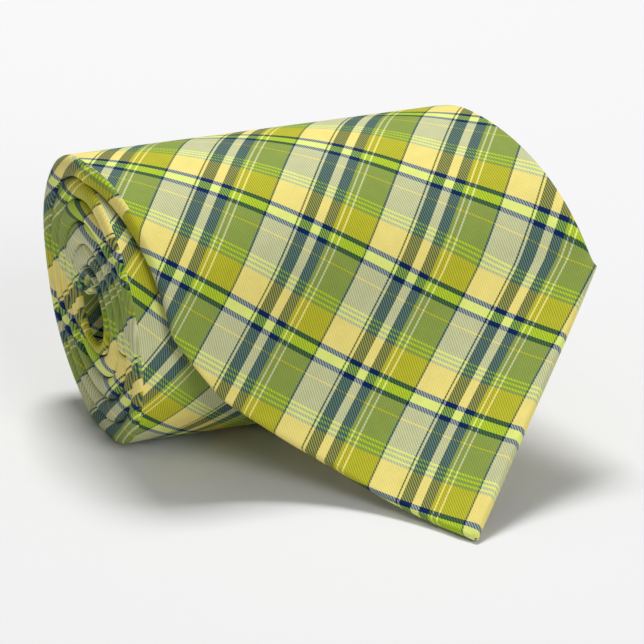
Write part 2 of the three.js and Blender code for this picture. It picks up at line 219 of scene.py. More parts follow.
class Pattern:
    """The finished tie laid flat: its outline, its layers' thickness and its plaid."""

    def __init__(self, sizes):
        self.sizes = sizes
        self.pitch = 2 * (sizes.made_up + sizes.ply_gap)
        self.wound = sizes.tie_length - sizes.free_length + sizes.tail_shortfall
        self.radius = math.sqrt(sizes.core_radius**2 + self.pitch * self.wound / (2 * math.pi))
        self.fold = sizes.free_length + self.wound / 2

    def half_width(self, s):
        """Half the tie's width, square to its own middle line."""
        z = self.sizes
        blade = mix(z.blade_width, z.neck_width, ramp(s, z.blade_point, z.neck_start)) / 2
        shoulder = z.tie_length - z.tail_point
        tail = mix(z.neck_width, z.tail_width, ramp(s, z.neck_end, shoulder)) / 2
        return np.where(s < z.neck_end, blade, tail) * (1 - ramp(s, shoulder, z.tie_length))

    def released(self, s):
        """0 on the unrolled blade, growing to 1 where skew and spread have died out."""
        z = self.sizes
        return ramp(s, z.free_length, z.free_length + z.spread_fade)

    def skew(self, s):
        """The angle between the tie's middle line and the roll's way of turning."""
        return self.sizes.blade_skew * (1 - self.released(s))

    def half_across(self, s):
        """Half the tie's width, along the roll's axis."""
        return self.half_width(s) / np.cos(self.skew(s))

    def axis(self, s):
        """The tie's own middle line, which the plaid is laid out from."""
        z = self.sizes
        faded = np.clip(s - z.free_length, 0, z.spread_fade)
        onward = np.minimum(s, z.free_length) + faded - faded**2 / (2 * z.spread_fade)
        return -math.tan(z.blade_skew) * onward

    def rolled_edges(self, s):
        """In the roll the left edges lie flush up to the fold; the tail is set in from them."""
        z = self.sizes
        crest = np.array(z.free_length)
        flush = float(self.axis(crest) - self.half_across(crest)) - z.crest_spread
        left = flush + z.tail_inset * ramp(s, self.fold, z.neck_end)
        spread = z.crest_spread * (1 - self.released(s))
        return left, left + 2 * self.half_across(s) + spread

    def edges(self, s):
        """Where a line across the roll, s from the point, leaves the tie on either side."""
        z = self.sizes
        half_point = math.atan2(z.blade_width / 2, z.blade_point)
        rise = z.blade_point * math.cos(z.blade_skew)
        tilt = z.blade_width / 2 * math.sin(z.blade_skew)
        centre, half = self.axis(s), self.half_across(s)
        left = np.where(s < rise - tilt, -s * math.tan(half_point + z.blade_skew), centre - half)
        right = np.where(s < rise + tilt, s * math.tan(half_point - z.blade_skew), centre + half)
        rounded_to = rise - tilt + z.shoulder_rounding
        rounding = ramp(s, rise - tilt, rounded_to)
        tucked = z.shoulder_tuck * (ramp(s, 0, z.tuck_fade) - rounding)
        spread = mix(z.shoulder_spread, z.crest_spread, ramp(s, rounded_to, z.free_length))
        out = spread * rounding - tucked
        rolled_left, rolled_right = self.rolled_edges(s)
        in_roll = s > z.free_length
        return np.where(in_roll, rolled_left, left - out), np.where(in_roll, rolled_right, right)

    def thickness(self, s):
        """Front to back through the tie, thicker where a tipping is sewn in."""
        z = self.sizes
        blade = 1 - ramp(s, z.blade_lining, z.blade_lining + THICKNESS_FADE)
        tail_start = z.tie_length - z.tail_lining
        tail = ramp(s, tail_start - THICKNESS_FADE, tail_start)
        return mix(z.made_up, z.lined, np.maximum(blade, tail))

    def back_panel(self, s):
        """Width of the cloth turned to the back along each edge."""
        z = self.sizes
        left, right = self.edges(s)
        full = (right - left) * PANEL_SHARE
        tilt = z.blade_width / 2 * math.sin(z.blade_skew)
        shoulder = z.blade_point * math.cos(z.blade_skew) - tilt
        tail = 1 - ramp(s, z.tie_length - z.tail_opening, z.tie_length - z.tail_point)
        closed = np.minimum(ramp(s, shoulder, z.blade_opening), tail)
        return mix(np.minimum(z.hem, full), full, closed)

    def centre(self, s):
        """Half way between the edges, where the back seam runs."""
        left, right = self.edges(s)
        return (left + right) / 2

    def straight_length(self, s):
        """Length of the tie's own middle line up to s, which the skew makes longer than s."""
        steps = np.linspace(0, self.sizes.tie_length, LENGTH_STATIONS)
        grown = np.concatenate([[0], np.cumsum(np.diff(steps) / np.cos(self.skew(steps[1:])))])
        return np.interp(s, steps, grown)

    def threads(self, across, s, repeat):
        """Repeats of the plaid counted along its two sets of yarns, at 45 degrees to the tie."""
        skew = self.skew(s)
        u = (across - self.axis(s)) * np.cos(skew)
        t = self.straight_length(s) - u * np.tan(skew)
        t = t + self.sizes.point_easing * (1 - ramp(s, 0, EASING_REACH)) ** 2
        diagonal = math.sqrt(2) * repeat
        return STEEP_START + (u - t) / diagonal, SHALLOW_START - (u + t) / diagonal


# ---- winding


# Cosine of the angle from straight down, within which the roll is flattened by the table.
FLATTENED_DOWN = 0.5
STATIONS_PER_RADIAN = 60
FOLD_STATIONS = 24
SWING_START = 0.015
SWING_END = 0.085
# Places from the point, one of which comes to rest on the table.
TOUCHING_PLACES = (0.0005, 0.004, 0.008, 0.016, 0.024)
LEAST_WRAP = math.radians(20)
MOST_WRAP = math.radians(150)
TABLE_CLEARANCE = 0.0001
WRAP_HALVINGS = 40


class Winding:
    """Carries points of the flat tie to their places on the free end and in the roll."""

    def __init__(self, pattern):
        self.pattern = pattern
        self.sizes = pattern.sizes
        self.radius = pattern.radius
        self.height = CREST.z - pattern.radius
        self.lay_path()
        self.wrap = self.find_wrap()

    def turn_radius(self, turned):
        """The spiral, flattened where it would sink into the table."""
        spiral = self.radius - self.pattern.pitch * turned / (2 * math.pi)
        down = -np.cos(turned)
        to_table = self.height / np.maximum(down, FLATTENED_DOWN)
        return np.where(down > FLATTENED_DOWN, np.minimum(spiral, to_table), spiral)

    def lay_path(self):
        """The right side's path in the roll: inward to the fold, round it and outward again."""
        z = self.sizes
        turning = 2 * math.pi * (self.radius - z.core_radius) / self.pattern.pitch
        turned = np.linspace(0, turning, int(turning * STATIONS_PER_RADIAN))
        radius = self.turn_radius(turned)
        outward = np.stack([np.sin(turned), np.cos(turned)], 1)
        inner = self.pattern.pitch / 2 + z.made_up
        bend = np.linspace(0, math.pi, FOLD_STATIONS)[1:-1, None]
        last = outward[-1]
        onward = np.array([math.cos(turned[-1]), -math.sin(turned[-1])])
        fold_normal = np.cos(bend) * last + np.sin(bend) * onward
        fold = (radius[-1] - inner / 2) * last + inner / 2 * fold_normal
        back = (radius[::-1] - inner)[:, None] * outward[::-1]
        self.path = np.concatenate([radius[:, None] * outward, fold, back])
        self.normals = np.concatenate([outward, fold_normal, -outward[::-1]])
        steps = np.linalg.norm(np.diff(self.path, axis=0), axis=1)
        self.along = z.free_length + np.concatenate([[0], np.cumsum(steps)])
        self.turned = np.concatenate([turned, np.full(len(bend), turned[-1]), turned[::-1]])

    def place_at_turn(self, turned):
        """How far from the point the tie is once the roll has turned this far."""
        inward = len(self.turned) // 2
        return float(np.interp(turned, self.turned[:inward], self.along[:inward]))

    def flare(self, x, s, n):
        """The sheet past the flare line bends away from the roll, towards its right side."""
        z = self.sizes
        past = x * math.sin(z.flare_skew) + (z.flare_start - s) * math.cos(z.flare_skew)
        bend_radius = z.flare_length / z.flare_angle
        bent = np.clip(past, 0, z.flare_length) / bend_radius
        straight = np.maximum(past - z.flare_length, 0)
        run = (bend_radius - n) * np.sin(bent) + straight * np.cos(bent)
        rise = bend_radius - (bend_radius - n) * np.cos(bent) + straight * np.sin(bent)
        shift = np.where(past > 0, run - past, 0)
        return (x + shift * math.sin(z.flare_skew), s - shift * math.cos(z.flare_skew),
                np.where(past > 0, rise, n))

    def place_free(self, x, s, n):
        """The free end leaves the crest, follows the roll and runs straight on, its point swung."""
        x = x - self.sizes.point_swing * (1 - ease(ramp(s, SWING_START, SWING_END)))
        x, s, n = self.flare(x, s, n)
        along = self.sizes.free_length - s
        turned = np.minimum(along / self.radius, self.wrap)
        straight = np.maximum(along - self.radius * self.wrap, 0)
        radius = self.radius + n
        y = -radius * np.sin(turned) - straight * np.cos(turned)
        z = self.height + radius * np.cos(turned) - straight * np.sin(turned)
        return np.stack([x, y, z], -1)

    def find_wrap(self):
        """How far the blade follows the roll, so that its point just rests on the table."""
        s = np.array(TOUCHING_PLACES)
        left, right = self.pattern.edges(s)
        x = np.concatenate([left, right, left, right])
        n = np.repeat([0.0, -self.sizes.lined], 2 * len(s))
        low, high = LEAST_WRAP, MOST_WRAP
        for _ in range(WRAP_HALVINGS):
            self.wrap = (low + high) / 2
            if self.place_free(x, np.tile(s, 4), n)[:, 2].min() > TABLE_CLEARANCE:
                low = self.wrap
            else:
                high = self.wrap
        return low

    def along_path(self, values, s):
        """Values known at the path's stations, at s."""
        return np.stack([np.interp(s, self.along, values[:, axis]) for axis in (0, 1)], -1)

    def place(self, x, s, n):
        """Places in the frame of points given flat."""
        x, s, n = np.broadcast_arrays(*(np.asarray(given, float) for given in (x, s, n)))
        rolled = self.along_path(self.path, s) + n[..., None] * self.along_path(self.normals, s)
        height = self.height + rolled[..., 1]
        lean = self.sizes.roll_lean * (1 - height / CREST.z)
        wound = np.stack([x + lean, rolled[..., 0], height], -1)
        free = self.place_free(x, s, n)
        placed = np.where((s <= self.sizes.free_length)[..., None], free, wound)
        return placed + np.array([CREST.x, CREST.y, 0.0])


# ---- sheets


# The size, pace and start of each part of the wave.
WAVES = ((1.0, 1.31, 0.7), (0.6, 2.17, 2.1), (0.4, 5.3, 0.0))


def wobble(s, wavelength):
    """A slow, uneven wave between -1 and 1 that no two turns share."""
    phase = 2 * math.pi * s / wavelength
    return sum(size * np.sin(phase * pace + start) for size, pace, start in WAVES) / 2


def finished_piece(name, bm, material):
    """Makes the built mesh an object in the scene, of one material."""
    mesh = bpy.data.meshes.new(name)
    bm.to_mesh(mesh)
    bm.free()
    piece = bpy.data.objects.new(name, mesh)
    bpy.context.scene.collection.objects.link(piece)
    mesh.materials.append(material)
    return piece


def plain_chart(chart):
    """The same chart for every face of a piece."""
    return chart, chart, lambda face_across, face_s: False


def mapped_grid(name, columns, rows, material, carry, chart):
    """A grid with the given stations across and along, carried to its place and charted.

    carry(across, s) gives the places of the grid's corners. chart(across, s, places) gives two
    charts of the corners and a test, asked with the middle of each face, for the second one.
    """
    bm = bmesh.new()
    bmesh.ops.create_grid(bm, x_segments=len(columns) - 1, y_segments=len(rows) - 1, size=1.0)
    corners = np.array([vertex.co[:2] for vertex in bm.verts]) / 2 + 0.5
    across = np.interp(corners[:, 0] * (len(columns) - 1), np.arange(len(columns)), columns)
    s = np.interp(corners[:, 1] * (len(rows) - 1), np.arange(len(rows)), rows)
    places = carry(across, s)
    for vertex, place in zip(bm.verts, places):
        vertex.co = place
    first, second, use_second = chart(across, s, places)
    layer = bm.loops.layers.uv.new("Plaid")
    for face in bm.faces:
        around = [loop.vert.index for loop in face.loops]
        chosen = second if use_second(across[around].mean(), s[around].mean()) else first
        for loop in face.loops:
            loop[layer].uv = chosen[loop.vert.index]
        face.smooth = True
    return finished_piece(name, bm, material)


INWARD = -1
OUTWARD = 1


def give_thickness(piece, thickness, side=INWARD):
    """Makes a sheet as thick as its stuff, on the side away from its right side or on it."""
    solidify = piece.modifiers.new("Cloth thickness", "SOLIDIFY")
    solidify.thickness = thickness
    solidify.offset = side
    solidify.use_even_offset = True


def rows_along(start, end, step):
    """Stations along the tie, a step or a little less apart."""
    return np.linspace(start, end, max(int(math.ceil((end - start) / step)) + 1, 2))


LEFT_PANEL, LEFT_FOLD, FRONT, RIGHT_FOLD, RIGHT_PANEL, ENVELOPE_END = range(6)


def envelope_columns(panel, fold, front):
    """Stations round the tie's outer cloth, from the back seam round both edges and back."""
    counts = {LEFT_PANEL: panel, LEFT_FOLD: fold, FRONT: front, RIGHT_FOLD: fold, RIGHT_PANEL: panel}
    stations = [part + np.arange(count) / count for part, count in counts.items()]
    return np.concatenate(stations + [[ENVELOPE_END]])


PUFF_START = 0.055
PUFF_FULL_SHARE = 0.9
# How near the fold the soft edge begins to flatten, and is flat.
FOLD_NEAR = 0.085
FOLD_FLAT = 0.02
OUTGOING_FADE = 0.03
# The pressed tip of the blade: its length, and its thickness and lowering as shares.
TIP_LENGTH = 0.004
TIP_THICKNESS_SHARE = 0.3
TIP_LOWERED_SHARE = 0.9
PUFF_UNEVENNESS = 0.015
PUFF_WAVELENGTH = 0.21
EDGE_WANDER = 0.0004
EDGE_WAVELENGTH = 0.17
EDGE_WAVE_START = 0.05
PRESSED_RIM = 0.0011
RIGHT_RIM = 0.0012
RIGHT_SWELLING = 1.08
RIGHT_REACH = 0.004
WIDEST_RIM_SHARE = 0.3
PANEL_TO_RIM = 1.02


def half_ellipse(depth, thickness):
    """Length of the cloth round an edge, near enough half the way round an ellipse."""
    return math.pi * np.sqrt((depth**2 + (thickness / 2) ** 2) / 2)


class Envelope:
    """The outer cloth's section at s: a front turned round both edges into two back panels."""

    def __init__(self, pattern):
        self.pattern = pattern
        self.sizes = pattern.sizes

    def puff_share(self, s):
        """How far the soft edge is swollen: not at the point, fully in the roll up to the fold."""
        released = ease(ramp(s, PUFF_START, self.sizes.free_length * PUFF_FULL_SHARE))
        crowded = ease(ramp(np.abs(s - self.pattern.fold), FOLD_FLAT, FOLD_NEAR))
        outgoing = ramp(s, self.pattern.fold, self.pattern.fold + OUTGOING_FADE)
        return released * crowded * (1 - outgoing)

    def section(self, across, s):
        """Flat x and n of a station round the cloth, and where it lies on the cut cloth."""
        z = self.sizes
        left, right = self.pattern.edges(s)
        width = right - left
        full_thick = self.pattern.thickness(s)
        thick = full_thick * mix(TIP_THICKNESS_SHARE, 1, ramp(s, 0, TIP_LENGTH))
        lowered = TIP_LOWERED_SHARE * (full_thick - thick)
        share = self.puff_share(s)
        uneven = 1 + PUFF_UNEVENNESS * wobble(s, PUFF_WAVELENGTH)
        left_thick = mix(thick, z.puff * uneven, share)
        right_thick = thick * RIGHT_SWELLING
        left = left + share * EDGE_WANDER * (1 + wobble(s + EDGE_WAVE_START, EDGE_WAVELENGTH))
        left_rim = np.minimum(mix(PRESSED_RIM, z.rim, share), WIDEST_RIM_SHARE * width)
        right_rim = np.minimum(RIGHT_RIM, WIDEST_RIM_SHARE * width)
        panel = np.maximum(self.pattern.back_panel(s), left_rim * PANEL_TO_RIM)
        part = np.minimum(across.astype(int), RIGHT_PANEL)
        f = across - part
        back = np.pi * f
        left_length = half_ellipse(left_rim, left_thick)
        right_length = half_ellipse(right_rim, right_thick)
        x_cases = [
            mix(left + panel, left + left_rim, f),
            left + left_rim * (1 - np.sin(back)),
            mix(left + left_rim, right - right_rim, f),
            right - right_rim * (1 - np.sin(back)),
            mix(right - right_rim, right - panel, f),
        ]
        x = np.choose(part, x_cases)
        inward = np.clip((x - left - left_rim) / z.puff_reach, 0, 1)
        back_thick = mix(left_thick, thick, ease(inward))
        from_right = np.clip((right - right_rim - x) / RIGHT_REACH, 0, 1)
        right_back = mix(right_thick, thick, ease(from_right))
        back_thick = np.where(part == RIGHT_PANEL, right_back, back_thick)
        n_cases = [
            -back_thick,
            -left_thick * (1 + np.cos(back)) / 2,
            np.zeros_like(x),
            -right_thick * (1 - np.cos(back)) / 2,
            -back_thick,
        ]
        cut_cases = [
            left + left_rim - left_length - (x - left - left_rim),
            left + left_rim - left_length * (1 - f),
            x,
            right - right_rim + right_length * f,
            right - right_rim + right_length + (right - right_rim - x),
        ]
        return x, np.choose(part, n_cases) - lowered, np.choose(part, cut_cases)


# The second chart of the plaid, for the roll's flush end: where along the tie it is used, its
# stretch and slant, where its repeats start, and how much of the panel and front it takes.
END_FACE_START = 0.1
END_FACE_PAST_FOLD = 0.04
END_STRETCH = 2.3
END_LEAN = 0.7
END_STEEP_START = 0.55
END_SHALLOW_START = 0.62
END_PANEL_SHARE = 0.3
END_FRONT_SHARE = 0.12
END_FRONT_START = 0.37
END_EYE_LENGTH = 0.1
# How far round the roll the blade's cloth is cut, beneath it and out of sight.
SPLIT_TURN = math.radians(165)
SIZE_STATIONS = 400
LAYER_COLUMNS = 25


class Workshop:
    """Pattern, winding and colours in one place, for the operators."""

    def __init__(self, context):
        self.sizes = context.scene.necktie_sizes
        self.colours = context.scene.necktie_colours
        self.pattern = Pattern(self.sizes)
        self.winding = Winding(self.pattern)
        self.envelope = Envelope(self.pattern)
        self.split = self.winding.place_at_turn(SPLIT_TURN)

    def chart_envelope(self, across, s, places):
        """The plaid follows the cloth, but on the flush end it runs straight over the turns."""
        _, _, cut = self.envelope.section(across, s)
        first = np.stack(self.pattern.threads(cut, s, self.colours.repeat), -1)
        u = (CREST.y - places[:, 1]) / END_STRETCH
        t = places[:, 2] - END_LEAN * u
        diagonal = math.sqrt(2) * self.colours.repeat
        second = np.stack([END_STEEP_START + (u - t) / diagonal,
                           END_SHALLOW_START - (u + t) / diagonal], -1)

        def on_end(face_across, face_s):
            rolled = END_FACE_START < face_s < self.pattern.fold + END_FACE_PAST_FOLD
            covered = END_FRONT_START < face_s < self.pattern.fold - END_EYE_LENGTH
            first_across = LEFT_FOLD - (END_PANEL_SHARE if covered else 0)
            last_across = FRONT + (END_FRONT_SHARE if covered else 0)
            return rolled and first_across < face_across < last_across

        return first, second, on_end

    def cover(self, name, start, end, step, columns):
        """A length of the outer cloth."""
        def carry(across, s):
            x, n, _ = self.envelope.section(across, s)
            return self.winding.place(x, s, n)

        piece = mapped_grid(name, columns, rows_along(start, end, step), plaid_material(self.colours),
                            carry, self.chart_envelope)
        give_thickness(piece, self.sizes.cloth)
        return piece

    def cut_size(self, start, end):
        """Greatest width, length and area of a length of the outer cloth, laid flat."""
        s = np.linspace(start, end, SIZE_STATIONS)
        left, right = self.pattern.edges(s)
        rounding = math.pi * self.sizes.made_up
        width = (right - left) + 2 * self.pattern.back_panel(s) + rounding
        between = (width[1:] + width[:-1]) / 2
        return float(width.max()), end - start, float(between.mean()) * (end - start)

    def layer(self, name, start, end, step, depth, thickness, margin, material):
        """A flat layer inside the outer cloth, its right side at the given depth."""
        def carry(across, s):
            left, right = self.pattern.edges(s)
            inset = np.minimum(margin, (right - left) / 3)
            return self.winding.place(mix(left + inset, right - inset, across), s, -depth)

        def chart(across, s, places):
            left, right = self.pattern.edges(s)
            return plain_chart(np.stack([mix(left, right, across), s], -1))

        piece = mapped_grid(name, np.linspace(0, 1, LAYER_COLUMNS), rows_along(start, end, step),
                            material, carry, chart)
        give_thickness(piece, thickness)
        return piece

    def layer_size(self, start, end, margin):
        """Greatest width, length and area of a flat layer."""
        s = np.linspace(start, end, SIZE_STATIONS)
        left, right = self.pattern.edges(s)
        width = np.maximum(right - left - 2 * margin, (right - left) / 3)
        return float(width.max()), end - start, float(np.mean(width)) * (end - start)

    def on_back(self, across, s, depth):
        """Places on the tie's back, across from the middle, depth behind the back panels."""
        thick = self.pattern.thickness(s)
        return self.winding.place(self.pattern.centre(s) + across, s, -thick - depth)


# ---- threads


THREAD_SIDES = 6
# A direction that no thread runs along.
ACROSS_THREAD = np.array([0.31, 0.17, 0.94])
NOT_ZERO = 1e-12


def thread_along(name, points, diameter, material):
    """A sewing thread along the points, round in section and closed at both ends."""
    points = np.asarray(points, float)
    heading = np.gradient(points, axis=0)
    heading /= np.linalg.norm(heading, axis=1)[:, None] + NOT_ZERO
    side = np.cross(heading, ACROSS_THREAD)
    side /= np.linalg.norm(side, axis=1)[:, None] + NOT_ZERO
    up = np.cross(side, heading)
    bm = bmesh.new()
    bmesh.ops.create_grid(bm, x_segments=THREAD_SIDES, y_segments=len(points) - 1, size=1.0)
    for vertex in bm.verts:
        turn = (vertex.co.x / 2 + 0.5) * 2 * math.pi
        row = round((vertex.co.y / 2 + 0.5) * (len(points) - 1))
        offset = (side[row] * math.cos(turn) + up[row] * math.sin(turn)) * diameter / 2
        vertex.co = points[row] + offset
    bmesh.ops.remove_doubles(bm, verts=bm.verts, dist=diameter * 0.02)
    bmesh.ops.holes_fill(bm, edges=bm.edges, sides=THREAD_SIDES)
    bmesh.ops.recalc_face_normals(bm, faces=bm.faces)
    for face in bm.faces:
        face.smooth = len(face.verts) == 4
    return finished_piece(name, bm, material)


# ---- materials


EYE_GAMMA = 2.2


def new_material(name):
    """A material, its shader, a maker of nodes and the links between them."""
    material = bpy.data.materials.new(name)
    material.use_nodes = True
    nodes = material.node_tree.nodes
    links = material.node_tree.links
    shader = nodes["Principled BSDF"]

    def node(kind, inputs=(), **settings):
        made = nodes.new(kind)
        for key, value in settings.items():
            setattr(made, key, value)
        for socket, value in dict(inputs).items():
            if isinstance(value, bpy.types.NodeSocket):
                links.new(value, made.inputs[socket])
            else:
                made.inputs[socket].default_value = value
        return made

    return material, shader, node, links


def calculate(node, operation, *values):
    """One step of arithmetic on a number that varies over the surface."""
    return node("ShaderNodeMath", dict(enumerate(values)), operation=operation).outputs[0]


def stripes(node, count, bands):
    """Bands of colour across one set of yarns, each given as (where it starts, its colour)."""
    ramp_node = node("ShaderNodeValToRGB", {0: calculate(node, "FRACT", count)})
    ramp_node.color_ramp.interpolation = "CONSTANT"
    elements = ramp_node.color_ramp.elements
    elements[1].position = bands[1][0]
    elements[0].color = (*bands[0][1], 1)
    elements[1].color = (*bands[1][1], 1)
    for start, colour in bands[2:]:
        elements.new(start).color = (*colour, 1)
    return ramp_node.outputs[0]


def plaid_material(colours):
    """The tie cloth: a twill of two sets of striped yarns that cross on the bias."""
    made = bpy.data.materials.get("Plaid twill")
    if made:
        return made
    material, shader, node, links = new_material("Plaid twill")
    chart = node("ShaderNodeUVMap", uv_map="Plaid").outputs[0]
    counts = node("ShaderNodeSeparateXYZ", {0: chart}).outputs
    cream, olive, teal, navy = colours.cream, colours.olive, colours.teal, colours.navy
    yellow, sage, lime = colours.yellow, colours.sage, colours.lime
    steep = stripes(node, counts[0], [
        (0.0, teal), (0.018, cream), (0.300, teal), (0.316, cream), (0.338, teal), (0.455, cream),
        (0.540, teal), (0.637, olive), (0.668, cream), (0.686, olive), (0.728, cream), (0.746, olive)])
    shallow = stripes(node, counts[1], [
        (0.0, navy), (0.046, lime), (0.136, navy), (0.180, sage), (0.306, yellow), (0.320, sage),
        (0.583, lime), (0.602, sage), (0.628, lime), (0.647, sage), (0.673, lime), (0.692, sage),
        (0.722, yellow)])
    ridges = math.sqrt(2) * colours.repeat / colours.twill / 2
    diagonal = calculate(node, "MULTIPLY", calculate(node, "SUBTRACT", counts[0], counts[1]), ridges)
    wave = calculate(node, "SINE", calculate(node, "MULTIPLY", diagonal, 2 * math.pi))
    share = calculate(node, "MULTIPLY_ADD", wave, 0.25, 0.5)
    woven = node("ShaderNodeMix", {0: share, 6: steep, 7: shallow}, data_type="RGBA").outputs[2]
    mottle = node("ShaderNodeTexNoise", {"Vector": chart, "Scale": 9.0, "Detail": 3.0}).outputs[0]
    tone = calculate(node, "MULTIPLY_ADD", mottle, 0.08, 0.92)
    toned = node("ShaderNodeVectorMath", {0: woven, 1: tone}, operation="MULTIPLY").outputs[0]
    seen = node("ShaderNodeGamma", {0: toned, 1: EYE_GAMMA}).outputs[0]
    links.new(seen, shader.inputs["Base Color"])
    yarns = calculate(node, "SINE", calculate(node, "MULTIPLY", counts[0], 2 * math.pi * ridges * 1.4))
    height = calculate(node, "MULTIPLY_ADD", yarns, 0.25, wave)
    bump = node("ShaderNodeBump", {"Height": height, "Strength": 0.22, "Distance": 0.00008}).outputs[0]
    links.new(bump, shader.inputs["Normal"])
    shader.inputs["Roughness"].default_value = 0.62
    shader.inputs["Specular IOR Level"].default_value = 0.08
    shader.inputs["Sheen Weight"].default_value = 0.03
    shader.inputs["Sheen Roughness"].default_value = 0.4
    return material


def seen_colour(colour, share=1.0):
    """A colour as the eye reads it, in the shader's own linear numbers."""
    return (*[(channel * share) ** EYE_GAMMA for channel in colour], 1)


def fibre_material(name, colour, scale, contrast, roughness, sheen=0.0):
    """Plain woven or felted stuff, uneven in tone and height like fine fibres."""
    made = bpy.data.materials.get(name)
    if made:
        return made
    material, shader, node, links = new_material(name)
    place = node("ShaderNodeTexCoord").outputs["Object"]
    fibres = node("ShaderNodeTexNoise", {"Vector": place, "Scale": scale, "Detail": 6.0}).outputs[0]
    tones = {0: fibres, 6: seen_colour(colour, 1 - contrast), 7: seen_colour(colour)}
    toned = node("ShaderNodeMix", tones, data_type="RGBA").outputs[2]
    links.new(toned, shader.inputs["Base Color"])
    bump = node("ShaderNodeBump", {"Height": fibres, "Strength": 0.35, "Distance": 0.0001}).outputs[0]
    links.new(bump, shader.inputs["Normal"])
    shader.inputs["Roughness"].default_value = roughness
    shader.inputs["Sheen Weight"].default_value = sheen
    return material


# ---- operators


# Where the sheets start and end, their steps and margins.
BLADE_START = 0.0007
TAIL_END_GAP = 0.002
CUT_GAP = 0.0002
SEAM_GAP = 0.0003
CLOTH_STEP = 0.002
BLADE_STEP = 0.0013
CANVAS_STEP = 0.0022
CANVAS_MARGIN = 0.0026
CANVAS_SETBACK = 0.007
LINING_STEP = 0.0015
LINING_MARGIN = 0.0022
LINING_SETBACK = 0.006
CANVAS_DEPTH_GAP = 0.0002
LINING_DEPTH_GAP = 0.0005
# The small pieces and the stitches on the tie's back.
PATCH_GAP = 0.0002
PATCH_THICKNESS = 0.0003
PATCH_ROUNDING = 0.0001
PATCH_COLUMNS = 27
PATCH_STEP = 0.001
TACK_LENGTH = 0.002
TACK_WIDTH = 0.007
KEEPER_TACK_WIDTH = 0.0012
KEEPER_TACK_GAP = 0.0009
STITCH = 0.008
STITCH_SWAY = 0.0006
STITCH_DEPTH = 0.0001
STITCH_SETBACK = 0.0023
SEAM_MARGIN = 0.002
SEAM_DEPTH = 0.0008
SEAM_STATIONS = 40
ZIGZAG_STEP = 0.0004
ZIGZAG_LEAST = 5
ZIGZAG_GAP = 0.00016
# The stage.
TABLE_SIZE = 6.0
TABLE_WHITE = (0.77, 0.77, 0.775, 1)
KEY_PLACE = (0.12, 0.7, 1.8)
KEY_SIZE = 0.6
FILL_PLACE = (0.3, -1.8, 1.0)
FILL_SIZE = 0.8
AIM = Vector((CREST.x - 0.0265, CREST.y - 0.0316, 0.035))
SENSOR_WIDTH = 36
NEAREST_SEEN = 0.05


def bend_at_crest(piece):
    """Bakes the piece's place into its mesh, leaving it apart from the roll's body."""
    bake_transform(piece)


def stay_in_roll(piece):
    """The piece keeps its place in the roll."""
    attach(piece, ROLL_BODY)


class NECKTIE_OT_stage(bpy.types.Operator):
    """Add the table, the studio lights and the camera"""

    bl_idname = "necktie.stage"
    bl_label = "Table, Light and Camera"

    def execute(self, context):
        studio = context.scene.necktie_studio
        bm = bmesh.new()
        bmesh.ops.create_grid(bm, x_segments=1, y_segments=1, size=TABLE_SIZE)
        material, shader, _, _ = new_material("Table white")
        shader.inputs["Base Color"].default_value = TABLE_WHITE
        shader.inputs["Roughness"].default_value = 0.9
        shader.inputs["Specular IOR Level"].default_value = 0.1
        table = finished_piece("table", bm, material)
        self.add_light("key", KEY_PLACE, KEY_SIZE, studio.key_power)
        self.add_light("fill", FILL_PLACE, FILL_SIZE, studio.fill_power)
        world = bpy.data.worlds.new("Studio")
        world.use_nodes = True
        world.node_tree.nodes["Background"].inputs["Color"].default_value = (1, 1, 1, 1)
        world.node_tree.nodes["Background"].inputs["Strength"].default_value = studio.ambient
        context.scene.world = world
        context.scene.view_settings.view_transform = "Standard"
        self.add_camera(context, studio)
        return {"FINISHED"}

    def add_light(self, name, place, size, power):
        """Adds a square soft light that shines at the tie."""
        light = bpy.data.lights.new(name, "AREA")
        light.size = size
        light.energy = power
        lamp = bpy.data.objects.new(name, light)
        lamp.location = place
        lamp.rotation_euler = (-Vector(place)).to_track_quat("-Z", "Y").to_euler()
        bpy.context.scene.collection.objects.link(lamp)

    def add_camera(self, context, studio):
        """Adds the camera, aimed a little in front of the roll's middle."""
        camera = bpy.data.cameras.new("camera")
        camera.lens = studio.focal_length
        camera.sensor_width = SENSOR_WIDTH
        stand = bpy.data.objects.new("camera", camera)
        azimuth, elevation = studio.azimuth, studio.elevation
        back = Vector((math.sin(azimuth) * math.cos(elevation), -math.cos(azimuth) * math.cos(elevation),
                       math.sin(elevation)))
        stand.location = AIM + back * studio.distance
        stand.rotation_euler = (-back).to_track_quat("-Z", "Y").to_euler()
        camera.clip_start = NEAREST_SEEN
        context.scene.collection.objects.link(stand)
        context.scene.camera = stand


class NECKTIE_OT_blade_cloth(bpy.types.Operator):
    """Add the cloth of the blade's free end, from the point over the crest"""

    bl_idname = "necktie.blade_cloth"
    bl_label = "Blade Cloth"

    def execute(self, context):
        shop = Workshop(context)
        columns = envelope_columns(panel=12, fold=8, front=60)
        piece = shop.cover("blade_cloth", BLADE_START, shop.split, BLADE_STEP, columns)
        bend_at_crest(piece)
        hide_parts("blade_end_cover")
        width, long, area = shop.cut_size(BLADE_START, shop.split)
        return {"FINISHED"}


